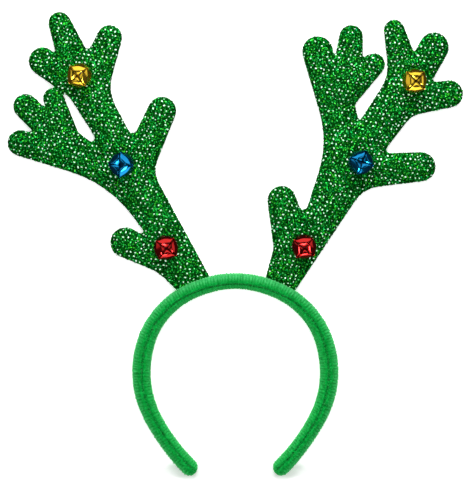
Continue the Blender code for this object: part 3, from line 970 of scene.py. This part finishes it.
def bell_place(row):
    _, x, y, roll, lean_x, lean_y = row
    axis = Vector((lean_x, lean_y, 1.0)).normalized()
    tilt = Vector((0, 0, 1)).rotation_difference(axis).to_matrix().to_4x4()
    return (Matrix.Translation(Vector((x - SHIFT[0], y - SHIFT[1], BELL_HEIGHT)) * MM)
            @ tilt @ Matrix.Rotation(math.radians(roll), 4, 'Z'))


def build_bells():
    form = bell_form()
    paints = {
        "gold": lacquer("lacquer_gold", (1.0, 0.67, 0.045), (0.95, 0.60, 0.030)),
        "blue": lacquer("lacquer_blue", (0.000, 0.26, 0.58), (0.000, 0.22, 0.49)),
        "red": lacquer("lacquer_red", (0.58, 0.014, 0.012), (0.50, 0.010, 0.008)),
    }
    steel = steel_material()
    # near-black inside: painted shade
    inside = painted_shade_inside_material()
    for row in BELLS:
        colour = row[0].split("_")[0]
        obj = link(bpy.data.objects.new("jingle_" + row[0], form.copy()))
        obj.data.materials.clear()
        obj.data.materials.append(paints[colour])
        obj.data.materials.append(inside)
        obj.matrix_world = bell_place(row)
        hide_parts("bell_" + row[0])
        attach(obj, "root")
        BELLS_ONLY.objects.link(obj)
        NOT_BELLS.objects.link(obj)
        pellet = NODES["pellet_" + row[0]]
        pellet.data.materials.clear()
        pellet.data.materials.append(steel)


# ---- floor, lights and camera --------------------------------------------------

# which pieces a light falls on: the bells mirror softboxes of their own
BELLS_ONLY = bpy.data.collections.new("lit_bells")
NOT_BELLS = bpy.data.collections.new("lit_rest")


def area_light(name, at, aim, size, size_y, power, colour=(1, 1, 1)):
    data = bpy.data.lights.new(name, 'AREA')
    data.shape = 'RECTANGLE'
    data.size, data.size_y = size, size_y
    data.energy = power
    data.color = colour
    obj = link(bpy.data.objects.new(name, data))
    obj.location = at
    obj.rotation_euler = (Vector(aim) - Vector(at)).to_track_quat('-Z', 'Y').to_euler()
    return obj


def stage_and_light():
    mesh = bpy.data.meshes.new("floor")
    bm = bmesh.new()
    bmesh.ops.create_grid(bm, x_segments=1, y_segments=1, size=6.0)
    bm.to_mesh(mesh)
    bm.free()
    floor = link(bpy.data.objects.new("floor", mesh))
    floor.location.z = -0.0002
    floor.visible_glossy = False
    mesh.materials.append(floor_material())

    world = bpy.data.worlds.new("studio")
    bpy.context.scene.world = world
    world.use_nodes = True
    back = world.node_tree.nodes["Background"]
    back.inputs["Color"].default_value = (1, 1, 1, 1)
    back.inputs["Strength"].default_value = 0.06

    # softboxes: degrees from overhead towards +Y and towards +X, distance,
    # size, glow, and what they light
    for name, tilt, turn, far, wide, high, glow, group in (
            ("key", 38.0, 0.0, 1.4, 0.75, 0.32, 15.0, NOT_BELLS),
            ("rim", 68.0, 0.0, 1.4, 1.30, 0.40, 5.0, NOT_BELLS),
            ("fill", -38.0, 0.0, 1.4, 1.10, 0.90, 1.7, NOT_BELLS),
            ("sky", 0.0, 0.0, 2.0, 5.0, 5.0, 0.19, NOT_BELLS),
            ("bell_hot", -35.0, 0.0, 3.0, 1.20, 1.10, 16.0, BELLS_ONLY),
            ("bell_front", -66.0, 0.0, 3.0, 4.20, 1.70, 1.60, BELLS_ONLY),
            ("bell_top", 42.0, 0.0, 3.0, 4.20, 2.20, 1.30, BELLS_ONLY),
            ("bell_left", 0.0, -50.0, 3.0, 1.50, 2.60, 0.65, BELLS_ONLY),
            ("bell_right", 0.0, 50.0, 3.0, 1.50, 2.60, 0.80, BELLS_ONLY)):
        a, b = math.radians(tilt), math.radians(turn)
        at = (far * math.sin(b), far * math.sin(a) * math.cos(b), far * math.cos(a) * math.cos(b))
        lamp = area_light(name, at, (0, 0, 0), wide, high, glow * math.pi * wide * high)
        lamp.light_linking.receiver_collection = group

    cam = bpy.data.cameras.new("camera")
    obj = link(bpy.data.objects.new("camera", cam))
    obj.location = (-0.00015, -0.0010, 1.15)
    cam.sensor_width = 36.0
    # 2/3 mm a pixel at the height of the padding's widest line
    cam.lens = 36.0 * (1150.0 - 5.0) / (490 * 2 / 3)
    cam.clip_start = 0.05
    bpy.context.scene.camera = obj

    view = bpy.context.scene.view_settings
    view.view_transform = 'Standard'
    view.look = 'None'


GROUND = knit_material()
FOILS = [
    foil_material("foil_deep", (0.0008, 0.150, 0.006), 0.42, 0.75),
    foil_material("foil_green", (0.0030, 0.360, 0.026), 0.38, 0.75),
    foil_material("foil_bright", (0.020, 0.800, 0.085), 0.32, 0.75),
    foil_material("foil_lime", (0.040, 0.760, 0.020), 0.32, 0.75),
    foil_material("foil_teal", (0.002, 0.460, 0.095), 0.34, 0.75),
]
# the whitish colour of the first flat and the glow of all three are painted glints
SPARKS = [
    foil_material("spark_white_painted_highlight", (0.62, 1.0, 0.70), 0.28, 0.25, 0.08, painted_glint=0.38),
    foil_material("spark_pale", (0.075, 0.80, 0.16), 0.30, 0.5, 0.15, painted_glint=0.12),
    foil_material("spark_lime", (0.080, 0.76, 0.06), 0.30, 0.5, 0.15, painted_glint=0.08),
]

stage_and_light()
build_band()
build_bells()
for lit in NOT_BELLS.collection_objects:
    lit.light_linking.link_state = 'EXCLUDE'
for number, which in enumerate(("left", "right")):
    tinsel(padded_antler(which), which, 40 + number)
